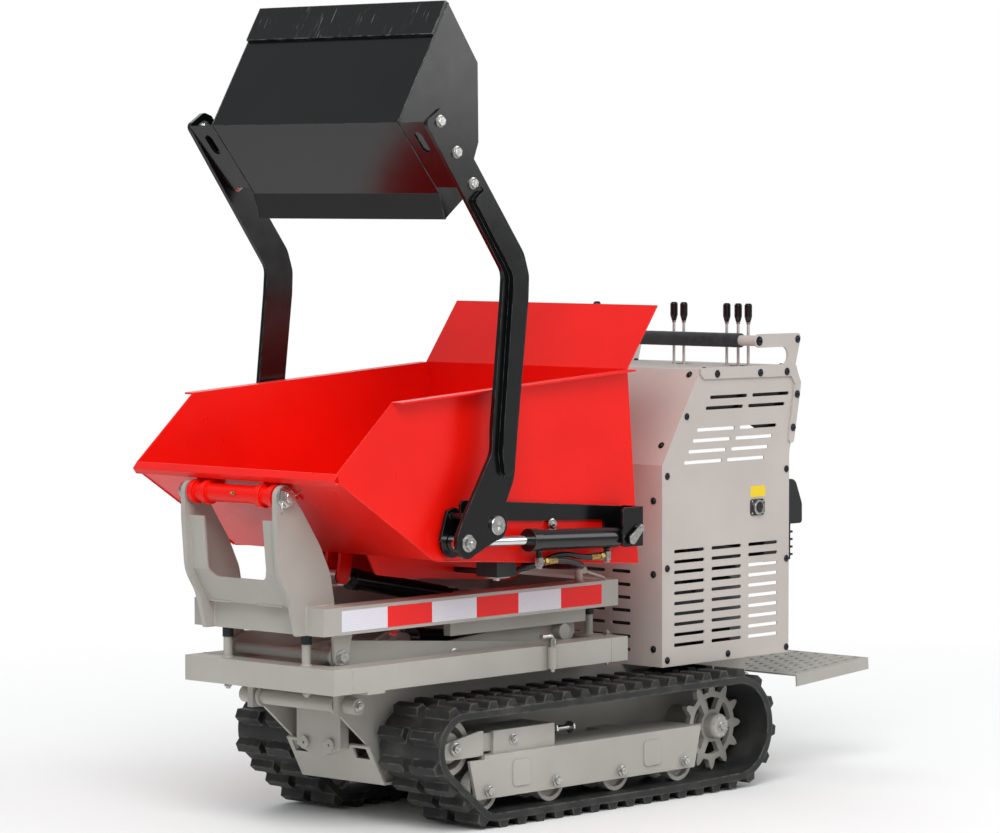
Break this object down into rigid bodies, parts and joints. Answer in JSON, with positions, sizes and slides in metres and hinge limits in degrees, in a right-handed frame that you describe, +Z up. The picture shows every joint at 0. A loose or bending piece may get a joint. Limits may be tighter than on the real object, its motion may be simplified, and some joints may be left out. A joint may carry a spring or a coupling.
{
  "type": "tracked site dumper",
  "caption": "Small tracked site dumper with a scissor-lifted front-tipping skip, a self-loading bucket on two arms, an engine housing and a folding platform.",
  "frame": {"origin": "on the ground under the middle of the machine's length and width", "axes": "+X forward to the tipping end, +Y to the machine's left, +Z up"},
  "size_m": [1.8907, 0.77, 1.7935],
  "materials": {
    "grey_paint": "satin",
    "housing_paint": "fine textured powder coat",
    "red_paint": "gloss",
    "black_paint": "gloss",
    "track_rubber": "matt moulded rubber",
    "black_rubber": "matt",
    "cast_steel": "painted casting",
    "zinc_steel": "zinc plated",
    "chrome_rod": "polished",
    "engine_iron": "matt",
    "black_plastic": "matt",
    "grip_foam": "soft foam",
    "lever_steel": "plated, with black knobs",
    "hose_rubber": "smooth cover",
    "brass_fitting": "machined"
  },
  "bodies": {
    "chassis": {"air_filter": "black_plastic", "chassis": "grey_paint", "drive_motors": "grey_paint", "engine": "engine_iron", "fuel_tank": "black_paint", "grip": "grip_foam", "handle_brackets": "housing_paint", "handlebar": "housing_paint", "housing_floor": "housing_paint", "housing_front": "housing_paint", "housing_sides": "housing_paint", "housing_top": "housing_paint", "idlers": "grey_paint", "lever_knobs": "black_plastic", "levers": "lever_steel", "pivot_tube": "grey_paint", "platform_brackets": "grey_paint", "rollers": "grey_paint", "skid_pan": "grey_paint", "sprockets": "cast_steel", "starter_case": "black_plastic", "tensioners": "grey_paint", "track_frames": "track_rubber", "track_left": "track_rubber", "track_right": "track_rubber"},
    "deck": {"lower_frame": "grey_paint", "stop_posts": "grey_paint", "stop_buffers": "black_rubber", "latch_pin": "zinc_steel"},
    "inner_arms": {"scissor_arms_inner": "grey_paint"},
    "outer_arms": {"scissor_arms_outer": "grey_paint"},
    "lift_barrel": {"lift_barrel": "black_paint"},
    "lift_rod": {"lift_rod": "chrome_rod"},
    "upper": {"upper_frame": "grey_paint", "hinge_horns": "grey_paint", "hinge_pin": "zinc_steel"},
    "skip": {"skip_shell": "red_paint", "skip_hinge": "red_paint", "skip_ribs": "red_paint", "loader_side_plates": "black_paint", "cylinder_mounts": "black_paint", "rubber_stops": "black_rubber"},
    "tip_barrel": {"tip_barrel": "black_paint"},
    "tip_rod": {"tip_rod": "chrome_rod"},
    "loader": {"loader_arms": "black_paint", "bucket": "black_paint", "cutting_edge": "black_paint", "bucket_brackets": "black_paint"},
    "loader_barrels": {"loader_barrels": "black_paint", "hydraulic_fittings": "brass_fitting", "hose_front": "hose_rubber", "hose_rear": "hose_rubber"},
    "loader_rods": {"loader_rods": "chrome_rod"},
    "platform": {"platform": "grey_paint"}
  },
  "joints": [
    {"name": "deck_tilt", "type": "hinge", "parent": "chassis", "child": "deck", "pos_m": [0.73025, 0, 0.282], "axis": [0, 1, 0], "range_deg": [0, 45]},
    {"name": "scissor_lift", "type": "hinge", "parent": "deck", "child": "inner_arms", "pos_m": [0.77505, 0, 0.345], "axis": [0, 1, 0], "range_deg": [0, 50]},
    {"name": "scissor_cross", "type": "hinge", "parent": "inner_arms", "child": "outer_arms", "pos_m": [0.41605, 0, 0.368], "axis": [0, 1, 0], "range_deg": [-100.05, 0]},
    {"name": "scissor_top", "type": "hinge", "parent": "outer_arms", "child": "upper", "pos_m": [0.77505, 0, 0.391], "axis": [0, 1, 0], "range_deg": [0, 50.02]},
    {"name": "lift_barrel_swing", "type": "hinge", "parent": "deck", "child": "lift_barrel", "pos_m": [0.00425, 0, 0.352], "axis": [0, 1, 0], "range_deg": [-20.8, 0]},
    {"name": "lift_rod_slide", "type": "slide", "parent": "lift_barrel", "child": "lift_rod", "axis": [0.9956, 0, 0.0935], "range_m": [0, 0.22415]},
    {"name": "skip_tip", "type": "hinge", "parent": "upper", "child": "skip", "pos_m": [0.91975, 0, 0.7416], "axis": [0, 1, 0], "range_deg": [0, 70]},
    {"name": "tip_barrel_swing", "type": "hinge", "parent": "upper", "child": "tip_barrel", "pos_m": [0.26025, 0, 0.474], "axis": [0, 1, 0], "range_deg": [-41.17, 0]},
    {"name": "tip_rod_slide", "type": "slide", "parent": "tip_barrel", "child": "tip_rod", "axis": [0.9811, 0, 0.1935], "range_m": [0, 0.24208]},
    {"name": "loader_lift", "type": "hinge", "parent": "skip", "child": "loader", "pos_m": [0.50375, 0, 0.6692], "axis": [0, -1, 0], "range_deg": [-122.5, 0]},
    {"name": "loader_barrel_swing", "type": "hinge", "parent": "skip", "child": "loader_barrels", "pos_m": [0.06925, 0, 0.616], "axis": [0, -1, 0], "range_deg": [-2.88, 0]},
    {"name": "loader_rod_slide", "type": "slide", "parent": "loader_barrels", "child": "loader_rods", "axis": [0.9993, 0, 0.0381], "range_m": [-0.16587, 0]},
    {"name": "platform_fold", "type": "hinge", "parent": "chassis", "child": "platform", "pos_m": [-0.65075, 0, 0.221], "axis": [0, 1, 0], "range_deg": [0, 60]}
  ],
  "couplings": [
    {"joint": "scissor_cross", "follows": "scissor_lift", "ratio": -2},
    {"joint": "scissor_top", "follows": "scissor_lift", "ratio": 1},
    {"joint": "lift_barrel_swing", "follows": "scissor_lift", "ratio": -0.41578},
    {"joint": "lift_rod_slide", "follows": "scissor_lift", "m_per_rad": 0.25673},
    {"joint": "tip_barrel_swing", "follows": "skip_tip", "ratio": -0.58782},
    {"joint": "tip_rod_slide", "follows": "skip_tip", "m_per_rad": 0.19805},
    {"joint": "loader_barrel_swing", "follows": "loader_lift", "ratio": 0.023536},
    {"joint": "loader_rod_slide", "follows": "loader_lift", "m_per_rad": 0.077544}
  ]
}
